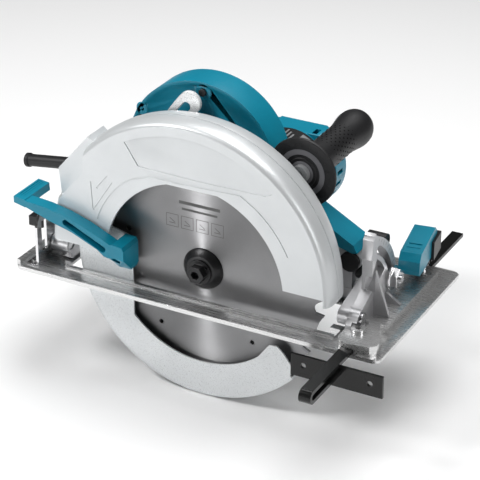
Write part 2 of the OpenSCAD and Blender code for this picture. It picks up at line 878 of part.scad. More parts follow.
module handle_outline() {
  difference() {
    union() {
      translate([arch_x, arch_z]) circle(arch_r);
      polygon([[-104, 118], [-120, 88], [-150, 70], [-152, 42], [-130, 36], [-40, 34],
        [-20, 100]]);
    }
    // finger opening
    translate([-58, 98]) circle(30);
    translate([2, 104]) circle(32);
    polygon([[-58, 128], [2, 136], [6, 72.3], [-58, 68]]);
    // seats on the gear housing and motor housing
    translate([motor_x, motor_z]) circle(motor_r + 2);
    circle(50);
    // room for the arm that reaches to the depth pivot
    square([80, 61]);
  }
}

// Switch chamber with the narrower way down for the trigger
module handle_cavity(y0, y1, slit0, slit1) {
  xz(y0, y1) polygon([[-46, 146], [-44, 154], [-24, 166], [4, 166], [8, 146]]);
  xz(slit0, slit1) polygon([[-43, 150], [-43, 118], [3, 118], [3, 150]]);
}

module handle_right() {
  color("#0c86a2") difference() {
    xz(handle_y0, handle_y) handle_outline();
    handle_cavity(handle_y - 9, handle_y + 1, handle_y - 7.4, handle_y + 1);
    cord_seat();
    rod_y(button_x, button_z, handle_y0 - 1, handle_y + 1, 4 + run_fit);
    for (p = handle_screw_places) rod_y(p[0], p[1], handle_y0 - 1, handle_y + 1, 2.2);
  }
}

module handle_left() {
  color("#0a7a95") difference() {
    xz(handle_y, handle_y1) handle_outline();
    handle_cavity(handle_y - 1, handle_y + 9, handle_y - 1, handle_y + 7.4);
    cord_seat();
    for (p = handle_screw_places) rod_y(p[0], p[1], handle_y - 1, handle_y1 + 1, 2.2);
  }
}

handle_screw_places = [[-90, 140], [-124, 60], [46, 108]];

module handle_screws() {
  color("lightgray") for (p = handle_screw_places) {
    rod_y(p[0], p[1], handle_y0 + 2, handle_y1, 2.2);
    rod_y(p[0], p[1], handle_y1, handle_y1 + 2, 4);
  }
}

module switch_body() {
  color("#232323") xz(handle_y - 9, handle_y + 9)
    polygon([[-42, 148], [-24, 160], [4, 160], [6, 148]]);
}

module cord_place() {
  translate([-150, handle_y, 56]) rotate([0, -98, 0]) children();
}

module cord_seat() {
  cord_place() translate([0, 0, -24]) cylinder(r = 7.4, h = 40);
}

module cord_guard() {
  color("#1a1a1a") cord_place() difference() {
    union() {
      translate([0, 0, -24]) cylinder(r = 7.4, h = 60);
      translate([0, 0, 36]) cylinder(r = 6.6, h = 56);
      translate([0, 0, 90]) cylinder(r = 7.6, h = 4);
    }
    translate([0, 0, -25]) cylinder(r = 4.5, h = 125);
  }
}

module side_grip() {
  y1 = grip_y0 + grip_len;
  color("#191919") difference() {
    turned(grip_x, grip_z, [[0, grip_y0], [flange_r - 1.5, grip_y0],
      [flange_r, grip_y0 + 1.4], [flange_r, grip_y0 + 3], [flange_r - 2, grip_y0 + 4],
      [22, grip_y0 + 5], [18.5, grip_y0 + 14], [16.5, grip_y0 + 60], [16.5, y1 - 28],
      [18.5, y1 - 17], [19.8, y1 - 8], [19.5, y1], [17, y1 + 8], [12, y1 + 13],
      [6, y1 + 15.4], [0, y1 + 16]]);
    rod_y(grip_x, grip_z, grip_y0 - 1, grip_y0 + 30, 4);
  }
}

module grip_stud() {
  color("lightgray") rod_y(grip_x, grip_z, 26.2, grip_y0 + 30, 4);
}

// ---------- depth clamp ----------

module depth_bolt() {
  color("lightgray") {
    rod_y(depth_bolt_x, pivot_z, case_y1 - 2.7, case_y1 - 0.2, 7);
    rod_y(depth_bolt_x, pivot_z, case_y1 - 0.2, 38, 4);
  }
}

module depth_lever() {
  color("#1c1c1c") difference() {
    union() {
      rod_y(depth_bolt_x, pivot_z, guide_y1 + 0.6, 36.4, 10);
      xz(31.5, 36) link([depth_bolt_x, pivot_z], [-208, -8.5], 5);
      block([-222, 20, -14], [-205, 36, -3]);
    }
    rod_y(depth_bolt_x, pivot_z, 30, 37, 4 + run_fit);
  }
}

// ---------- blade group ----------

// One tooth as [share of the blade's radius, share of the tooth pitch]
tooth_points = [[1, 0], [0.931, 0], [0.918, 0.06], [0.914, 0.13], [0.922, 0.2], [0.945, 0.27],
  [0.979, 0.34], [0.982, 0.42], [0.966, 0.6], [0.972, 0.78]];
function tooth(i) = [for (p = tooth_points)
  let (a = (i + p[1]) * 360 / tooth_count - 48) blade_r * p[0] * [cos(a), sin(a)]];

module blade_outline() {
  polygon([for (i = [0 : tooth_count - 1]) each tooth(i)]);
}

module saw_blade() {
  color("#a9abad") difference() {
    xz(-blade_t / 2, blade_t / 2) difference() {
      blade_outline();
      circle(bore_d / 2 + run_fit);
      for (i = [0 : 4]) rotate(i * 72 + 20) translate([blade_r * 0.66, 0]) circle(2.5);
    }
    for (i = [0 : tooth_count - 1]) at_tooth(i, tip_w + 1)
      polygon([[blade_r + 2, 1], [blade_r - 9, 1], [blade_r - 9, -2.4], [blade_r + 2, -2.9]]);
  }
}

// Carbide tip brazed into the front of tooth i
module at_tooth(i, w) {
  xz(-w / 2, w / 2) rotate(i * 360 / tooth_count - 48) children();
}

module carbide_tips() {
  color("#6f7072") for (i = [0 : tooth_count - 1]) at_tooth(i, tip_w)
    polygon([[blade_r, 0], [blade_r - 9, 0], [blade_r - 9, -2.4], [blade_r - 0.5, -2.78]]);
}

module inner_flange() {
  color("#2a2a2a") difference() {
    union() {
      rod_y(0, 0, blade_t / 2, 6.8, 23);
      rod_y(0, 0, -blade_t / 2, blade_t / 2 + 0.1, bore_d / 2);
    }
    rod_y(0, 0, -2, 8, 7.5);
  }
}

module outer_flange() {
  color("#1e1e1e") difference() {
    turned(0, 0, [[5, -8], [15, -8], [16.5, -7.4], [22, -2.5], [22.5, -blade_t / 2],
      [5, -blade_t / 2]]);
    rod_y(0, 0, -9, 0, 5);
  }
}

module blade_bolt() {
  color("#161616") difference() {
    union() {
      rod_y(0, 0, -10.5, -8, 13);
      hex_y(0, 0, -19, -10.5, 9.8);
      rod_y(0, 0, -8.2, 30, 5);
    }
    hex_y(0, 0, -20, -13, 4.6);
  }
}

module spindle() {
  color("silver") difference() {
    union() {
      rod_y(0, 0, -blade_t / 2, 10, 7.5);
      rod_y(0, 0, 6.8, 29, 10);
      rod_y(0, 0, 29, 53.5, spindle_d / 2);
    }
    rod_y(0, 0, -2, 32, 5);
  }
}

module spindle_gear() {
  color("#8d8f91") difference() {
    union() {
      xz(30.5, 41) gear(gear_m, gear_teeth, 25, 0.9, 1.5, 0.16);
      rod_y(0, 0, 29.2, 43, 13);
    }
    rod_y(0, 0, 28, 44, spindle_d / 2);
  }
}

// ---------- armature ----------

module armature_shaft() {
  color("silver") {
    rod_y(motor_x, motor_z, 45, 86, 6);
    rod_y(motor_x, motor_z, 85, motor_end - 5, 5);
    translate([motor_x, 0, motor_z]) xz(29, 45)
      rotate(pinion_phase) gear(gear_m, pinion_teeth, 25, 1.0, 1.6, 0.16);
  }
}
gear_direction = atan2(motor_z, motor_x);
// Turns the pinion so that a gap meets the spindle gear's tooth
pinion_phase = 180 + gear_direction * (1 + gear_teeth / pinion_teeth)
  + 180 / pinion_teeth;

module armature_core() {
  color("#5b4a3a") difference() {
    rod_y(motor_x, motor_z, 86, 140, 24);
    rod_y(motor_x, motor_z, 85, 141, 5);
  }
}

module commutator() {
  color("#b87333") difference() {
    rod_y(motor_x, motor_z, 154, 180, 16.5);
    rod_y(motor_x, motor_z, 153, 181, 5);
  }
}

module fan() {
  color("#d8d0c0") translate([motor_x, 0, motor_z]) difference() {
    union() {
      rod_y(0, 0, 60, 63, 38);
      rod_y(0, 0, 60, 72, 10);
      for (i = [0 : 15]) xz(62.5, 72) rotate(i * 22.5) translate([20, -1]) square([17.5, 2]);
    }
    rod_y(0, 0, 59, 73, 6);
  }
}

// ---------- lower guard ----------

module guard_sector(r, a0, a1) {
  intersection() {
    circle(r);
    slice(r, a0, a1);
  }
}

module guard_near_wall() {
  difference() {
    guard_sector(guard_r - 1, guard_rear_a, guard_front_a);
    difference() {
      circle(guard_in_r);
      translate([-guard_r, -68]) square([guard_r - 77, 110]);
    }
    // slanted front edge
    polygon([[87, -61.6], [94, -67.7], [104, -81], [106, -94], [130, -100], [130, -50]]);
  }
  polygon([[66, -79], [78.5, -62], [87, -61.6], [94, -67.7], [104, -81], [102, -91],
    [80, -95]]);
}

module lower_guard() {
  color("#cfd1d1") difference() {
    union() {
      turned(0, 0, [[guard_r - guard_t, guard_y0], [guard_r - 0.7, guard_y0],
        [guard_r, guard_y0 + 1], [guard_r, guard_y1 - 1], [guard_r - 0.7, guard_y1],
        [guard_r - guard_t, guard_y1]], guard_rear_a, guard_front_a - guard_rear_a);
      // near wall, wide at the rear where the lever is fixed
      xz(guard_y0 + 0.3, guard_y0 + guard_t) guard_near_wall();
      xz(guard_y1 - guard_t, guard_y1 - 0.3)
        guard_sector(guard_r - 1, guard_rear_a, guard_front_a);
      rod_y(0, 0, 9.2, guard_y1, hub_r);
    }
    rod_y(0, 0, 8, guard_y1 + 1, nose_r + run_fit);
    rod_y(lever_at[0], lever_at[1], guard_y0 - 1, guard_y0 + 3, 2.5);
  }
}
lever_at = [-81, 4];

module guard_lever() {
  arm_y0 = -39;
  arm_y1 = case_y0 - 1.6;
  color("#0c86a2") difference() {
    union() {
      // arm outside the case
      xz(arm_y0, arm_y1) polygon([[-71, -3], [-76, -4], [-84, 1.5], [-101, 14], [-130, 26],
        [-154, 32], [-lever_reach + 8, 43.5], [-lever_reach + 8, 49], [-160, 46.5], [-137, 42], [-115, 35], [-94, 26],
        [-76, 18], [-71, 14]]);
      // block that reaches in through the window to the guard
      xz(arm_y0, guard_y0 + 0.3) polygon([[-70, -5], [-72, -10], [-86, -10], [-87, 20],
        [-84, 23], [-72, 22], [-70, 18]]);
      // thumb grip turned in behind the case
      xz(arm_y0, 7) polygon([[-lever_reach, 44], [-lever_reach, 51], [-lever_reach + 13, 49.5],
        [-lever_reach + 13.5, 41]]);
    }
    rod_y(lever_at[0], lever_at[1], arm_y0 - 1, guard_y0 - 5, 4.5);
    rod_y(lever_at[0], lever_at[1], guard_y0 - 6, guard_y0 + 1, 2.5);
    xz(arm_y0 - 1, arm_y0 + 8) link([-94, 15.5], [-137, 35], 3.5);
    // lower corner cut back to stay clear of the sole at full bevel
    yz(-95, -60) polygon([[-50, 18.8], [-50, -20], [-11.2, -20]]);
    // grip grooves
    for (i = [0 : 3])
      block([-lever_reach + 2.2 + 2.7 * i, arm_y0 + 6, 50 - 0.12 * i],
        [-lever_reach + 3.2 + 2.7 * i, 5, 55]);
  }
}

module lever_screw() {
  color("lightgray") {
    rod_y(lever_at[0], lever_at[1], guard_y0 - 8, guard_y0 - 5, 4.2);
    rod_y(lever_at[0], lever_at[1], guard_y0 - 5, guard_y0 + 2, 2.5);
  }
}

module guard_spring() {
  y1 = guard_y1 - guard_t;
  color("dimgray") turned(0, 0, [[hub_r, y1 - 3.2], [hub_r + 1.6, y1 - 3.2],
    [hub_r + 1.6, y1 - 1.8], [hub_r + 1.2, y1 - 1.6], [hub_r + 1.6, y1 - 1.4],
    [hub_r + 1.6, y1], [hub_r, y1]]);
}

// ---------- buttons ----------

module trigger() {
  color("#1c1c1c") xz(handle_y - 7, handle_y + 7)
    polygon([[-42, 143], [-42, 126], [-36, 119], [-20, 118], [-4, 122], [2, 130], [2, 143]]);
}

module lock_off_button() {
  color("#1c1c1c") rod_y(button_x, button_z, handle_y0 - 3, handle_y - 3, 4);
}

module shaft_lock() {
  color("#1c1c1c") rod_z(lock_x, lock_y, 27, 56, 3.5);
}

base_plate();
bevel_quadrant();
rear_bracket();
base_screws();
rip_fence();
clamp_screw();
clamp_hub();
clamp_lever();
tilt_frame();
depth_guide();
depth_pivot_pin();
bevel_pins();
bevel_bolt();
bevel_nut();
bevel_lever();
blade_case();
case_screws();
bearing_box();
guard_retainer();
spindle_bearing_inner();
spindle_bearing_outer();
gear_housing();
pivot_cap();
motor_housing();
baffle_ring();
stator();
motor_cover();
cover_screws();
armature_bearing_front();
armature_bearing_rear();
brush_holders();
brush_caps();
front_fairing();
handle_right();
handle_left();
handle_screws();
switch_body();
cord_guard();
side_grip();
grip_stud();
depth_bolt();
depth_lever();
saw_blade();
carbide_tips();
inner_flange();
outer_flange();
blade_bolt();
spindle();
spindle_gear();
armature_shaft();
armature_core();
commutator();
fan();
lower_guard();
guard_lever();
lever_screw();
guard_spring();
trigger();
lock_off_button();
shaft_lock();
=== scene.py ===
import bmesh
import bpy
import json
import math
from mathutils import Matrix, Vector


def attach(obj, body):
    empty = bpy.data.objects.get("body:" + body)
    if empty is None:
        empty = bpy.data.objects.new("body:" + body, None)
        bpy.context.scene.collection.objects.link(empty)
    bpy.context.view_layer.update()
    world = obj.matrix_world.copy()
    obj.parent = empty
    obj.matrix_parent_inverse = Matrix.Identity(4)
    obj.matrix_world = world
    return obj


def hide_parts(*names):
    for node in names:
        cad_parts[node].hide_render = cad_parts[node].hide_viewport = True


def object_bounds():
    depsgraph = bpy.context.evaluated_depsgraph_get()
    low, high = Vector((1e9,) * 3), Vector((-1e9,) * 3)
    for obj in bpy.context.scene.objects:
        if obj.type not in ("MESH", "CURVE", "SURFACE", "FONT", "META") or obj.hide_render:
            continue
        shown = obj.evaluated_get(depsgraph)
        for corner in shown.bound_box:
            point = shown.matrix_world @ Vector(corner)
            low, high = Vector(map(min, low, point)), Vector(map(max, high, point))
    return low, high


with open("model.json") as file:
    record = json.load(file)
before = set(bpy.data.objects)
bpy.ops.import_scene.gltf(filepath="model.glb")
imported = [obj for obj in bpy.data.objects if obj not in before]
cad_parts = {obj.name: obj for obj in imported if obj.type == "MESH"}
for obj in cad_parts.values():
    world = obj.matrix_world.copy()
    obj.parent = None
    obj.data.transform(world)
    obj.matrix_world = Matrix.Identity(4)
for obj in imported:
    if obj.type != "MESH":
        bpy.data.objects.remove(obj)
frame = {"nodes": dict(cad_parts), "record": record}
cad_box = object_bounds()

# ---------- studio ----------
# Pale floor under the saw, a sky that brightens towards the far side and four soft boxes.
# The camera looks from the blade side, in front and above.
scene = bpy.context.scene
FLOOR_GAP = 0.0005
FLOOR_Z = cad_box[0][2] - FLOOR_GAP
FLOOR_SIZE = 12.0
CAMERA_PLACE = (0.8587, -1.5302, 0.9443)
CAMERA_PITCH, CAMERA_TURN = 62.51, 28.13
SKY_DARK, SKY_LIGHT = 0.10, 1.0

camera_data = bpy.data.cameras.new("camera")
camera_data.lens = 150
camera_data.sensor_width = 36
camera = bpy.data.objects.new("camera", camera_data)
camera.location = CAMERA_PLACE
camera.rotation_euler = (math.radians(CAMERA_PITCH), 0, math.radians(CAMERA_TURN))
scene.collection.objects.link(camera)
scene.camera = camera

world = bpy.data.worlds.new("sky")
scene.world = world
world.use_nodes = True
sky = world.node_tree
sky_way = sky.nodes.new("ShaderNodeTexCoord")
sky_split = sky.nodes.new("ShaderNodeSeparateXYZ")
sky_fade = sky.nodes.new("ShaderNodeMapRange")
sky_fade.inputs["From Min"].default_value = -0.9
sky_fade.inputs["From Max"].default_value = 0.5
sky_fade.inputs["To Min"].default_value = SKY_DARK
sky_fade.inputs["To Max"].default_value = SKY_LIGHT
sky.links.new(sky_way.outputs["Generated"], sky_split.inputs["Vector"])
sky.links.new(sky_split.outputs["Y"], sky_fade.inputs["Value"])
sky.links.new(sky_fade.outputs["Result"], sky.nodes["Background"].inputs["Strength"])
scene.view_settings.view_transform = "Standard"


def soft_box(name, place, target, size, power):
    data = bpy.data.lights.new(name, "AREA")
    data.shape = "RECTANGLE"
    data.size, data.size_y = size
    data.energy = power
    light = bpy.data.objects.new(name, data)
    light.location = place
    aim = Vector(target) - Vector(place)
    light.rotation_euler = aim.to_track_quat("-Z", "Y").to_euler()
    scene.collection.objects.link(light)


soft_box("key_light", (-1.2, -0.9, 1.6), (0, 0, 0), (0.6, 0.6), 30)
soft_box("top_light", (0.2, 0.5, 1.8), (0, 0.05, 0), (1.6, 1.2), 34)
soft_box("side_light", (1.7, -0.2, 0.7), (0, 0, 0), (0.5, 1.2), 9)
soft_box("front_light", (-0.8, -1.55, 0.14), (0, 0, 0), (0.14, 0.35), 7)

mesh = bpy.data.meshes.new("floor")
bm = bmesh.new()
bmesh.ops.create_grid(bm, x_segments=1, y_segments=1, size=FLOOR_SIZE / 2)
bmesh.ops.translate(bm, verts=bm.verts, vec=(0, 0, FLOOR_Z))
bm.to_mesh(mesh)
bm.free()
floor = bpy.data.objects.new("floor", mesh)
scene.collection.objects.link(floor)
floor_finish = bpy.data.materials.new("floor_finish")
floor_finish.use_nodes = True
floor_shader = floor_finish.node_tree.nodes["Principled BSDF"]
floor_shader.inputs["Base Color"].default_value = (0.93, 0.93, 0.93, 1)
floor_shader.inputs["Roughness"].default_value = 0.7
mesh.materials.append(floor_finish)

# ---------- blade case ----------
# Cast aluminium cover over the upper half of the blade, painted light satin grey.
# One casting with rounded shoulders; screwed to the bearing box.
nodes = frame["nodes"]
MM = 0.001
SHARP_ANGLE = 32


def new_group(name, inputs, outputs):
    group = bpy.data.node_groups.new(name, "ShaderNodeTree")
    for label, kind in inputs:
        group.interface.new_socket(label, in_out="INPUT", socket_type=kind)
    for label, kind in outputs:
        group.interface.new_socket(label, in_out="OUTPUT", socket_type=kind)
    return group, group.nodes.new("NodeGroupInput"), group.nodes.new("NodeGroupOutput")


# Fine grain: a close grain with its bump, and a broad cloud for handling marks
grain, grain_in, grain_out = new_group("fine_grain",
    [("Scale", "NodeSocketFloat"), ("Depth", "NodeSocketFloat")],
    [("Fine", "NodeSocketFloat"), ("Broad", "NodeSocketFloat"), ("Normal", "NodeSocketVector")])
grain_way = grain.nodes.new("ShaderNodeTexCoord")
fine = grain.nodes.new("ShaderNodeTexNoise")
fine.inputs["Detail"].default_value = 3
broad = grain.nodes.new("ShaderNodeTexNoise")
broad.inputs["Scale"].default_value = 22
broad.inputs["Detail"].default_value = 5
grain_lift = grain.nodes.new("ShaderNodeBump")
grain_lift.inputs["Distance"].default_value = 0.0003
grain.links.new(grain_way.outputs["Object"], fine.inputs["Vector"])
grain.links.new(grain_way.outputs["Object"], broad.inputs["Vector"])
grain.links.new(grain_in.outputs["Scale"], fine.inputs["Scale"])
grain.links.new(grain_in.outputs["Depth"], grain_lift.inputs["Strength"])
grain.links.new(fine.outputs["Fac"], grain_lift.inputs["Height"])
grain.links.new(fine.outputs["Fac"], grain_out.inputs["Fine"])
grain.links.new(broad.outputs["Fac"], grain_out.inputs["Broad"])
grain.links.new(grain_lift.outputs["Normal"], grain_out.inputs["Normal"])

# Brush lines: grain drawn out along one direction by a stretch per axis
lines, lines_in, lines_out = new_group("brush_lines",
    [("Stretch", "NodeSocketVector"), ("Depth", "NodeSocketFloat")],
    [("Line", "NodeSocketFloat"), ("Normal", "NodeSocketVector")])
lines_way = lines.nodes.new("ShaderNodeTexCoord")
stretch = lines.nodes.new("ShaderNodeVectorMath")
stretch.operation = "MULTIPLY"
streak = lines.nodes.new("ShaderNodeTexNoise")
streak.inputs["Scale"].default_value = 1
streak.inputs["Detail"].default_value = 4
lines_lift = lines.nodes.new("ShaderNodeBump")
lines_lift.inputs["Distance"].default_value = 0.0002
lines.links.new(lines_way.outputs["Object"], stretch.inputs[0])
lines.links.new(lines_in.outputs["Stretch"], stretch.inputs[1])
lines.links.new(stretch.outputs["Vector"], streak.inputs["Vector"])
lines.links.new(lines_in.outputs["Depth"], lines_lift.inputs["Strength"])
lines.links.new(streak.outputs["Fac"], lines_lift.inputs["Height"])
lines.links.new(streak.outputs["Fac"], lines_out.inputs["Line"])
lines.links.new(lines_lift.outputs["Normal"], lines_out.inputs["Normal"])


def surface(name, colour, shade, rough, metal, scale=900, depth=0.1, stretch=None, shine=0.5):
    """A finish that varies between colour and shade, with its own roughness grain."""
    finish = bpy.data.materials.new(name)
    finish.use_nodes = True
    tree = finish.node_tree
    shader = tree.nodes["Principled BSDF"]
    shader.inputs["Metallic"].default_value = metal
    shader.inputs["Specular IOR Level"].default_value = shine
    effect = tree.nodes.new("ShaderNodeGroup")
    effect.node_tree = grain
    effect.inputs["Scale"].default_value = scale
    effect.inputs["Depth"].default_value = depth
    fine_out, normal_out = effect.outputs["Fine"], effect.outputs["Normal"]
    if stretch:
        brush = tree.nodes.new("ShaderNodeGroup")
        brush.node_tree = lines
        brush.inputs["Stretch"].default_value = stretch
        brush.inputs["Depth"].default_value = depth
        fine_out, normal_out = brush.outputs["Line"], brush.outputs["Normal"]
    blend = tree.nodes.new("ShaderNodeMix")
    blend.data_type = "RGBA"
    blend.inputs[6].default_value = (*colour, 1)
    blend.inputs[7].default_value = (*shade, 1)
    spread = tree.nodes.new("ShaderNodeMapRange")
    spread.inputs["From Min"].default_value = 0.3
    spread.inputs["From Max"].default_value = 0.75
    gloss = tree.nodes.new("ShaderNodeMapRange")
    gloss.inputs["From Min"].default_value = 0.3
    gloss.inputs["From Max"].default_value = 0.7
    gloss.inputs["To Min"].default_value = rough - 0.05
    gloss.inputs["To Max"].default_value = rough + 0.07
    tree.links.new(effect.outputs["Broad"], spread.inputs["Value"])
    tree.links.new(spread.outputs["Result"], blend.inputs[0])
    tree.links.new(fine_out, gloss.inputs["Value"])
    tree.links.new(blend.outputs[2], shader.inputs["Base Color"])
    tree.links.new(gloss.outputs["Result"], shader.inputs["Roughness"])
    tree.links.new(normal_out, shader.inputs["Normal"])
    return finish


def add_piece(name, bm, finish, body, slot, *stands_for, smooth=True):
    """Turns a bmesh into a piece that rides on a body."""
    mesh = bpy.data.meshes.new(name)
    bm.to_mesh(mesh)
    bm.free()
    mesh.materials.append(finish)
    if smooth:
        mesh.shade_smooth()
        mesh.set_sharp_from_angle(angle=math.radians(SHARP_ANGLE))
    piece = bpy.data.objects.new(name, mesh)
    scene.collection.objects.link(piece)
    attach(piece, body)
    if stands_for:
        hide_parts(*stands_for)
    return piece


def clean_copy(node):
    """The CAD node's mesh merged into flat faces, ready for edge work."""
    bm = bmesh.new()
    bm.from_mesh(nodes[node].data)
    bmesh.ops.remove_doubles(bm, verts=bm.verts, dist=1e-6)
    bmesh.ops.dissolve_limit(bm, angle_limit=math.radians(0.6), verts=bm.verts, edges=bm.edges)
    return bm


def softened(name, node, finish, width, segments=3):
    """A copy of a CAD node with its edges rounded to width millimetres."""
    bm = clean_copy(node)
    record = frame["record"]
    body = next(b for b, owned in record["behaviour"]["bodies"].items() if node in owned)
    slot = next(s["material_slot"] for s in record["subparts"] if s["node"] == node)
    piece = add_piece(name, bm, finish, body, slot, node)
    bevel = piece.modifiers.new("edges", "BEVEL")
    bevel.width = width * MM
    bevel.segments = segments
    bevel.limit_method = "ANGLE"
    bevel.angle_limit = math.radians(SHARP_ANGLE)
    bevel.harden_normals = True


def paint_nodes(finish, *names):
    """Gives CAD nodes that keep their own shape a finish."""
    for name in names:
        mesh = nodes[name].data
        mesh.materials.clear()
        mesh.materials.append(finish)


cast_paint = surface("cast_paint", (0.66, 0.68, 0.69), (0.60, 0.62, 0.63), 0.36, 0.35,
    scale=1500, depth=0.07)
softened("case_shell", "blade_case", cast_paint, 0.5)

# ---------- lower guard ----------
# Swinging guard under the sole, cast aluminium with the same satin grey finish.
# It turns on the bearing box; its edges are rolled over.
guard_paint = surface("guard_paint", (0.70, 0.72, 0.73), (0.62, 0.64, 0.65), 0.30, 0.45,
    scale=1500, depth=0.05)
softened("guard_shell", "lower_guard", guard_paint, 0.35)

# ---------- saw blade ----------
# Ground steel disc with concentric grinding that throws fans of light.
# It keeps the shape of its CAD node, teeth and bore included.
BLADE_LINE_SCALE = 5200


def ground_disc(name, colour, shade, rough, line_scale):
    finish = surface(name, colour, shade, rough, 1.0, depth=0.0)
    tree = finish.node_tree
    shader = tree.nodes["Principled BSDF"]
    coords = tree.nodes.new("ShaderNodeTexCoord")
    flat = tree.nodes.new("ShaderNodeVectorMath")
    flat.operation = "MULTIPLY"
    flat.inputs[1].default_value = (1, 0, 1)
    radius = tree.nodes.new("ShaderNodeVectorMath")
    radius.operation = "LENGTH"
    rings = tree.nodes.new("ShaderNodeTexNoise")
    rings.noise_dimensions = "1D"
    rings.inputs["Scale"].default_value = line_scale
    lift = tree.nodes.new("ShaderNodeBump")
    lift.inputs["Strength"].default_value = 0.05
    lift.inputs["Distance"].default_value = 0.0001
    tangent = tree.nodes.new("ShaderNodeTangent")
    tangent.direction_type = "RADIAL"
    tangent.axis = "Y"
    shader.inputs["Anisotropic"].default_value = 0.95
    shader.inputs["Anisotropic Rotation"].default_value = 0.25
    tree.links.new(coords.outputs["Object"], flat.inputs[0])
    tree.links.new(flat.outputs["Vector"], radius.inputs[0])
    tree.links.new(radius.outputs["Value"], rings.inputs["W"])
    tree.links.new(rings.outputs["Fac"], lift.inputs["Height"])
    tree.links.new(lift.outputs["Normal"], shader.inputs["Normal"])
    tree.links.new(tangent.outputs["Tangent"], shader.inputs["Tangent"])
    return finish


blade_steel = ground_disc("blade_steel", (0.29, 0.29, 0.295), (0.26, 0.26, 0.265), 0.38,
    BLADE_LINE_SCALE)
paint_nodes(blade_steel, "saw_blade")

# Marks on the blade: plain bars and open squares in dark ink, no letters
ink = surface("blade_ink", (0.10, 0.10, 0.10), (0.14, 0.14, 0.14), 0.5, 0.2)
INK_Y = -0.9 * MM
INK_T = 0.05 * MM
MARK_ROWS = [(68, 46, 3.4), (61, 40, 2.4)]
MARK_X, MARK_Z, MARK_PITCH, MARK_SIZE, MARK_COUNT = -35, 46, 17, 14, 4


def ink_bar(bm, x, z, wide, high, lean=0.0):
    """Thin plate on the near face of the blade, centred at x, z in millimetres."""
    made = bmesh.ops.create_cube(bm, size=1.0)["verts"]
    bmesh.ops.scale(bm, verts=made, vec=(wide * MM, INK_T, high * MM))
    bmesh.ops.rotate(bm, verts=made, matrix=Matrix.Rotation(lean, 3, "Y"))
    bmesh.ops.translate(bm, verts=made, vec=(x * MM, INK_Y - INK_T / 2, z * MM))


def ink_square(bm, x, z, size, line):
    half = (size - line) / 2
    for side in (-1, 1):
        ink_bar(bm, x + side * half, z, line, size)
        ink_bar(bm, x, z + side * half, size - 2 * line, line)


bm = bmesh.new()
for z, wide, high in MARK_ROWS:
    ink_bar(bm, -4, z, wide, high)
for column in range(MARK_COUNT):
    x = MARK_X + MARK_PITCH * column
    ink_square(bm, x, MARK_Z, MARK_SIZE, 0.6)
    ink_bar(bm, x, MARK_Z, MARK_SIZE / 2, 0.8, lean=0.6)
    ink_bar(bm, x, MARK_Z - 3, MARK_SIZE / 2, 0.8)
add_piece("blade_marks", bm, ink, "blade", "steel", smooth=False)

# ---------- carbide tips ----------
# Small dark tips brazed to the front of each tooth; they keep their CAD shape.
carbide = surface("carbide", (0.20, 0.20, 0.21), (0.26, 0.26, 0.27), 0.35, 0.8, depth=0.15)
paint_nodes(carbide, "carbide_tips")

# ---------- blade fixing ----------
# Outer flange and hexagon bolt in blackened steel that clamp the blade.
black_oxide = surface("black_oxide", (0.016, 0.016, 0.017), (0.026, 0.026, 0.027), 0.34, 0.55,
    scale=1800, depth=0.12)
softened("flange_ring", "outer_flange", black_oxide, 0.4)
softened("arbor_bolt", "blade_bolt", black_oxide, 0.5)
paint_nodes(black_oxide, "inner_flange")

# ---------- sole plate ----------
# Pressed aluminium base with brushed upper side, window edges and front deck.
SOLE_STRETCH = (30, 2200, 900)
sole_metal = surface("sole_metal", (0.70, 0.70, 0.70), (0.62, 0.62, 0.62), 0.26, 0.85,
    depth=0.16, stretch=SOLE_STRETCH)
softened("sole", "base_plate", sole_metal, 0.4)

# Ruler ticks cut along the near edge of the sole, plain lines only
tick_paint = surface("tick_paint", (0.06, 0.06, 0.06), (0.09, 0.09, 0.09), 0.5, 0.1)
SOLE_Z = -35
TICK_TOP = SOLE_Z + 4.5
TICK_Y = -36
TICK_COUNT, TICK_START, TICK_PITCH = 70, -175, 5
bm = bmesh.new()
for index in range(TICK_COUNT):
    x = TICK_START + index * TICK_PITCH
    long = 3.6 if index % 2 else 2.2
    made = bmesh.ops.create_cube(bm, size=1.0)["verts"]
    bmesh.ops.scale(bm, verts=made, vec=(0.5 * MM, long * MM, 0.05 * MM))
    bmesh.ops.translate(bm, verts=made,
        vec=(x * MM, (TICK_Y + 0.6 + long / 2) * MM, (TICK_TOP + 0.02) * MM))
add_piece("sole_ticks", bm, tick_paint, "base", "sole", smooth=False)

# ---------- bevel quadrant ----------
# Cast arc that carries the angle slot, bead-blasted grey, screwed to the deck.
quadrant_cast = surface("quadrant_cast", (0.50, 0.50, 0.51), (0.42, 0.42, 0.43), 0.38, 0.75,
    scale=1200, depth=0.25)
softened("quadrant", "bevel_quadrant", quadrant_cast, 0.6)

# Angle marks stamped along the arc
BEVEL_Y, BEVEL_Z, QUAD_R, QUAD_X1 = 3, -14, 82, 172
MARK_ANGLES = range(8, 68, 5)
bm = bmesh.new()
for index, degrees in enumerate(MARK_ANGLES):
    angle = math.radians(degrees)
    long = 5 if index % 3 == 0 else 3
    mid = QUAD_R - 2 - long / 2
    made = bmesh.ops.create_cube(bm, size=1.0)["verts"]
    bmesh.ops.scale(bm, verts=made, vec=(0.05 * MM, long * MM, 0.5 * MM))
    bmesh.ops.rotate(bm, verts=made, matrix=Matrix.Rotation(angle, 3, "X"))
    bmesh.ops.translate(bm, verts=made, vec=((QUAD_X1 + 0.02) * MM,
        (BEVEL_Y + mid * math.cos(angle)) * MM, (BEVEL_Z + mid * math.sin(angle)) * MM))
add_piece("angle_ticks", bm, tick_paint, "base", "cast", smooth=False)

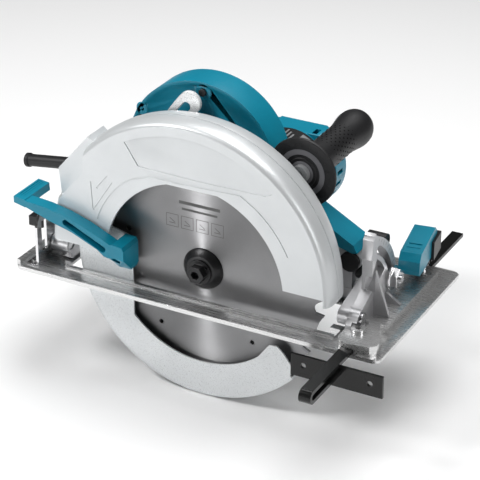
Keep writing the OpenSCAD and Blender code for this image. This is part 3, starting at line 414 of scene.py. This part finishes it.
# ---------- bright hardware ----------
# Plated nut, clamp screw and rear bracket with a mirror-like finish.
chrome = surface("chrome", (0.78, 0.78, 0.79), (0.70, 0.70, 0.71), 0.14, 1.0, depth=0.03)
softened("rear_plate", "rear_bracket", chrome, 0.5)
softened("angle_nut", "bevel_nut", chrome, 0.7)
paint_nodes(chrome, "clamp_screw")

# ---------- plain steel parts ----------
# Screws, pins, bearings and shafts in bright turned steel; CAD shapes.
steel = surface("turned_steel", (0.62, 0.62, 0.63), (0.55, 0.55, 0.56), 0.24, 1.0, depth=0.05)
paint_nodes(steel, "base_screws", "depth_pivot_pin", "bevel_pins", "bevel_bolt", "case_screws",
    "guard_retainer", "spindle_bearing_inner", "spindle_bearing_outer", "cover_screws",
    "armature_bearing_front", "armature_bearing_rear", "handle_screws", "grip_stud",
    "depth_bolt", "spindle", "spindle_gear", "armature_shaft", "lever_screw", "guard_spring")

# ---------- rip fence ----------
# Flat steel bar folded into a fence plate, gloss black enamel.
fence_enamel = surface("fence_enamel", (0.006, 0.006, 0.006), (0.010, 0.010, 0.010), 0.18, 0.0,
    scale=700, depth=0.05, shine=0.3)
softened("fence", "rip_fence", fence_enamel, 0.5)

# ---------- tilting frame ----------
# Grey cast frame that carries the head and turns between its two bevel pins.
softened("tilting_frame", "tilt_frame", quadrant_cast, 0.9)

# ---------- depth guide ----------
# Curved slotted plate in pale enamel; its tip rises above the handle.
guide_enamel = surface("guide_enamel", (0.80, 0.80, 0.80), (0.72, 0.72, 0.72), 0.28, 0.3,
    depth=0.04)
softened("depth_arc", "depth_guide", guide_enamel, 0.6)

# ---------- cast housings ----------
# Gear housing and bearing box, bare satin aluminium behind the case.
housing_cast = surface("housing_cast", (0.56, 0.57, 0.58), (0.48, 0.49, 0.50), 0.42, 0.7,
    scale=1200, depth=0.2)
softened("gear_case", "gear_housing", housing_cast, 1.5)
paint_nodes(housing_cast, "bearing_box")

# ---------- motor ----------
# Teal moulded housing and slotted cover with a fine spark-eroded texture.
TEAL = (0.003, 0.215, 0.315)
TEAL_SHADE = (0.002, 0.180, 0.270)
teal = surface("teal_plastic", TEAL, TEAL_SHADE, 0.34, 0.0, scale=2400, depth=0.12, shine=0.42)
softened("motor_shell", "motor_housing", teal, 1.0)
softened("motor_end", "motor_cover", teal, 2.5, segments=4)
softened("fairing", "front_fairing", teal, 3.0, segments=4)

# ---------- main handle ----------
# Two teal mouldings joined on the middle plane, with a fully rounded outside.
HANDLE_ROUND, HANDLE_RIM, HANDLE_SINK = 5.0, 4.0, 1.2
SCREW_KEEP = 7.0
HANDLE_SCREWS = [(-90, 140), (-124, 60), (46, 108), (-20, 168)]


def handle_half(name, node, outer_y, side):
    """Rounds the outside of one handle half and sinks its flat face inside a rim."""
    bm = clean_copy(node)
    outside = [f for f in bm.faces if f.normal.y * side > 0.99
        and abs(f.calc_center_median().y - outer_y * MM) < 0.1 * MM]
    keep = set(outside)
    rims = []
    for edge in {e for f in outside for e in f.edges}:
        if all(f in keep for f in edge.link_faces):
            continue
        mid = (edge.verts[0].co + edge.verts[1].co) / 2
        if all(math.dist((mid.x, mid.z), (x * MM, z * MM)) > SCREW_KEEP * MM
                for x, z in HANDLE_SCREWS):
            rims.append(edge)
    bmesh.ops.bevel(bm, geom=rims, offset=HANDLE_ROUND * MM, offset_type="OFFSET", segments=6,
        profile=0.5, affect="EDGES", material=-1, clamp_overlap=True)
    flat = [f for f in bm.faces if f.normal.y * side > 0.999
        and abs(f.calc_center_median().y - outer_y * MM) < 0.05 * MM]
    bmesh.ops.inset_region(bm, faces=flat, thickness=HANDLE_RIM * MM, depth=0,
        use_even_offset=True)
    bmesh.ops.inset_region(bm, faces=flat, thickness=0.8 * MM, depth=-HANDLE_SINK * MM,
        use_even_offset=True)
    add_piece(name, bm, teal, "head", "teal", node)


handle_half("handle_near", "handle_right", 37, -1)
handle_half("handle_far", "handle_left", 71, 1)

# ---------- lever and clamp mouldings ----------
# Teal guard lever and clamp lever, harder plastic with rounded edges.
softened("guard_arm", "guard_lever", teal, 1.6, segments=4)
softened("fence_lever", "clamp_lever", teal, 2.0, segments=4)

# ---------- black mouldings ----------
# Levers, buttons, caps and switch parts in black nylon.
nylon = surface("black_nylon", (0.010, 0.010, 0.011), (0.016, 0.016, 0.017), 0.40, 0.0,
    scale=2000, depth=0.18, shine=0.35)
softened("fence_hub", "clamp_hub", nylon, 0.8)
softened("angle_lever", "bevel_lever", nylon, 1.5)
softened("arc_lever", "depth_lever", nylon, 1.2)
softened("pivot_cover", "pivot_cap", nylon, 1.0)
softened("brush_cap_pair", "brush_caps", nylon, 0.6)
softened("trigger_key", "trigger", nylon, 2.0)
softened("lock_off_key", "lock_off_button", nylon, 0.8)
softened("spindle_key", "shaft_lock", nylon, 0.8)
paint_nodes(nylon, "baffle_ring", "brush_holders", "switch_body", "fan")

# ---------- electrical parts ----------
# Laminated cores in dark iron and a copper commutator, hidden in the motor.
core_iron = surface("core_iron", (0.16, 0.13, 0.11), (0.20, 0.16, 0.13), 0.55, 0.5, depth=0.3,
    stretch=(60, 3000, 60))
copper = surface("copper", (0.62, 0.30, 0.16), (0.55, 0.26, 0.13), 0.3, 1.0)
paint_nodes(core_iron, "stator", "armature_core")
paint_nodes(copper, "commutator")

# ---------- rubber parts ----------
# Cord guard and side grip in soft black rubber.
rubber = surface("black_rubber", (0.010, 0.010, 0.011), (0.017, 0.017, 0.018), 0.46, 0.0,
    scale=1600, depth=0.25, shine=0.35)
softened("cord_sleeve", "cord_guard", rubber, 0.5)

# ---------- side grip ----------
# Turned rubber grip with a wide hand flange, screwed on a stud along Y.
# Spun from a smooth outline, with raised rows of grip dots and a ringed near face.
GRIP_X, GRIP_Z = 91, 112
GRIP_STEPS = 96
DOT_ROWS, DOTS_ROUND, DOT_START, DOT_PITCH = 13, 20, 66, 5
DOT_RADIUS, DOT_SEAT = 1.1, 16.3
RIB_COUNT, RIB_RING = 24, 29


def turned(bm, outline):
    """Spins points (radius, y) in millimetres about the grip axis."""
    verts = [bm.verts.new(((GRIP_X + r) * MM, y * MM, GRIP_Z * MM)) for r, y in outline]
    edges = [bm.edges.new(pair) for pair in zip(verts, verts[1:])]
    bmesh.ops.spin(bm, geom=verts + edges, cent=(GRIP_X * MM, 0, GRIP_Z * MM),
        axis=(0, 1, 0), angle=math.tau, steps=GRIP_STEPS, use_merge=True)
    bmesh.ops.remove_doubles(bm, verts=bm.verts, dist=1e-6)
    bmesh.ops.recalc_face_normals(bm, faces=bm.faces)


def eased(points):
    """The outline with each corner cut once, its ends kept."""
    cut = [points[0]]
    for a, b in zip(points, points[1:]):
        cut.append((a[0] * 0.75 + b[0] * 0.25, a[1] * 0.75 + b[1] * 0.25))
        cut.append((a[0] * 0.25 + b[0] * 0.75, a[1] * 0.25 + b[1] * 0.75))
    return cut + [points[-1]]


grip_outline = [(0.01, 32), (15, 32), (15.5, 32.6), (24, 32.6), (24.6, 32), (34.4, 32),
    (35.6, 32.5), (36, 33.4), (36, 34.6), (35.2, 35.8), (33.5, 36.2), (24, 37), (21, 39),
    (19.2, 43), (18.2, 48), (17.2, 62), (16.5, 80), (16.4, 105), (16.6, 122), (18.2, 134),
    (19.7, 143), (19.9, 150), (19.0, 156), (16.5, 161.5), (12.5, 165.3), (7.5, 167.4),
    (3, 167.9), (0.01, 168)]
bm = bmesh.new()
turned(bm, grip_outline[:8] + eased(grip_outline[8:]))
add_piece("hand_grip", bm, rubber, "head", "black_rubber", "side_grip")

# Raised dots in staggered rows round the barrel, near-black and matte as painted shade for the
# holes of the grip
bm = bmesh.new()
for row in range(DOT_ROWS):
    y = DOT_START + row * DOT_PITCH
    for step in range(DOTS_ROUND):
        angle = math.tau * (step + 0.5 * (row % 2)) / DOTS_ROUND
        made = bmesh.ops.create_icosphere(bm, subdivisions=1, radius=DOT_RADIUS * MM)["verts"]
        bmesh.ops.scale(bm, verts=made, vec=(1, 1, 0.55))
        place = Matrix.Translation((GRIP_X * MM, y * MM, GRIP_Z * MM))
        place = place @ Matrix.Rotation(angle, 4, "Y")
        place = place @ Matrix.Translation((0, 0, DOT_SEAT * MM))
        bmesh.ops.transform(bm, verts=made, matrix=place)
# Near-black matte finish, darker than the rubber: painted shade standing in for the dark holes
hole_shade_black = surface("hole_shade_black", (0.002, 0.002, 0.002), (0.003, 0.003, 0.003), 0.9, 0.0,
    shine=0.1)
add_piece("grip_dots", bm, hole_shade_black, "head", "black_rubber")

# Plain grey ring, a ring of short ribs and a hub on the near face of the flange
grey_ring = surface("grip_ring", (0.16, 0.16, 0.17), (0.12, 0.12, 0.13), 0.45, 0.0, shine=0.4)
bm = bmesh.new()
turned(bm, [(19, 32.5), (19, 32.1), (24.4, 32.1), (24.4, 32.5)])
add_piece("flange_ring_grey", bm, grey_ring, "head", "black_rubber")
bm = bmesh.new()
for step in range(RIB_COUNT):
    made = bmesh.ops.create_cube(bm, size=1.0)["verts"]
    bmesh.ops.scale(bm, verts=made, vec=(1.1 * MM, 0.9 * MM, 3.2 * MM))
    place = Matrix.Translation((GRIP_X * MM, 32.2 * MM, GRIP_Z * MM))
    place = place @ Matrix.Rotation(math.tau * step / RIB_COUNT, 4, "Y")
    place = place @ Matrix.Translation((0, 0, RIB_RING * MM))
    bmesh.ops.transform(bm, verts=made, matrix=place)
add_piece("flange_ribs", bm, rubber, "head", "black_rubber")
bm = bmesh.new()
turned(bm, [(0.01, 31.6), (10.5, 31.6), (12, 31.9), (12.4, 32.4), (12.4, 33)])
add_piece("flange_hub", bm, grey_ring, "head", "black_rubber")

# ---------- motor label ----------
# Curved metal label on the near side of the motor end, silver over black.
# Plain bars stand in for print; it carries no letters.
MOTOR_X, MOTOR_Z = 1, 33
LABEL_R, PRINT_R = 44.0, 44.16
BAR_COUNT, BAR_START, BAR_PITCH, BAR_WIDE = 6, 78, 6, 2.5


def curved_plate(bm, radius, a0, a1, y0, y1, steps=24, thick=0.15):
    """Thin plate bent round the motor axis between two angles in degrees."""
    start = math.radians(a0)
    near = [bm.verts.new(((MOTOR_X + r * math.cos(start)) * MM, y * MM,
        (MOTOR_Z + r * math.sin(start)) * MM))
        for r, y in ((radius, y0), (radius + thick, y0), (radius + thick, y1), (radius, y1))]
    face = bm.faces.new(near)
    bmesh.ops.spin(bm, geom=[face] + list(face.edges) + near,
        cent=(MOTOR_X * MM, 0, MOTOR_Z * MM), axis=(0, -1, 0),
        angle=math.radians(a1 - a0), steps=steps)
    bmesh.ops.remove_doubles(bm, verts=bm.verts, dist=1e-7)
    bmesh.ops.recalc_face_normals(bm, faces=bm.faces)


label_grey = surface("label_grey", (0.45, 0.46, 0.47), (0.40, 0.41, 0.42), 0.3, 0.6, depth=0.02)
label_black = surface("label_black", (0.012, 0.012, 0.013), (0.02, 0.02, 0.02), 0.3, 0.0)
bm = bmesh.new()
curved_plate(bm, LABEL_R, 50, 118, 148, 190)
add_piece("label_plate", bm, label_black, "head", "teal")
bm = bmesh.new()
for row in range(BAR_COUNT):
    start = BAR_START + BAR_PITCH * row
    curved_plate(bm, PRINT_R, start, start + BAR_WIDE, 152, 178 + 4 * (row % 3), steps=4)
curved_plate(bm, PRINT_R, 56, 70, 152, 186, steps=8)
add_piece("label_bars", bm, label_grey, "head", "teal")
